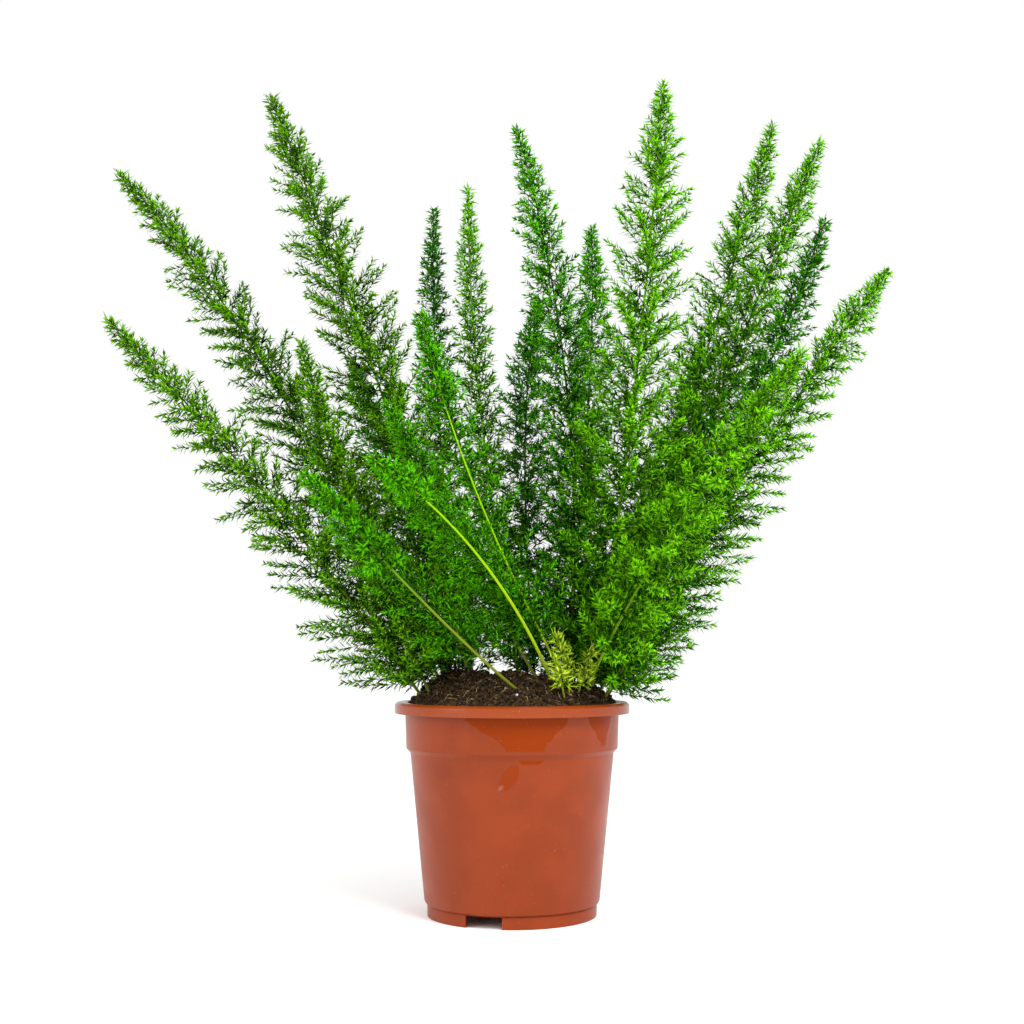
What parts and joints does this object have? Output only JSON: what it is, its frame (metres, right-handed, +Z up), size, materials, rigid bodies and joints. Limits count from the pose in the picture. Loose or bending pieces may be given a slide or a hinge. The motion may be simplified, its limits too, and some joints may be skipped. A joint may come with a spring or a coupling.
{
  "type": "foxtail fern in a nursery pot",
  "caption": "Foxtail fern: upright and arching plumes of fine needles on slim stems, growing from heaped soil in a tapered terracotta-coloured plastic nursery pot.",
  "frame": {"origin": "middle of the pot's foot, on the surface it stands on, which is also the bottom centre of the whole plant's box", "axes": "+Z up along the pot's axis, +X to the right and +Y away from the viewer as pictured"},
  "size_m": [0.5871, 0.4342, 0.6021],
  "materials": {
    "pot_plastic": "satin",
    "potting_soil": "matte",
    "green_foliage": "satin",
    "dark_foliage": "satin",
    "light_foliage": "satin",
    "young_foliage": "satin"
  },
  "bodies": {
    "root": {"pot": "pot_plastic", "soil": "potting_soil", "plume_left_low": "green_foliage", "plume_left_upper": "green_foliage", "plume_left_tall": "green_foliage", "plume_slim_dark": "dark_foliage", "plume_slim_bright": "light_foliage", "plume_broad_dark": "dark_foliage", "plume_back_short": "dark_foliage", "plume_tall_bright": "light_foliage", "plume_right_tall": "green_foliage", "plume_right_mid": "green_foliage", "plume_right_dark": "dark_foliage", "plume_right_low": "green_foliage", "plume_front_right": "light_foliage", "plume_front_high": "green_foliage", "plume_front_left": "green_foliage", "plume_front_low": "green_foliage", "plume_left_inner": "green_foliage", "plume_front_inner": "green_foliage", "plume_back_centre": "dark_foliage", "plume_back_left": "dark_foliage", "plume_back_right": "dark_foliage", "shoot_left": "young_foliage", "shoot_right": "young_foliage", "shoot_low": "young_foliage"}
  },
  "joints": []
}
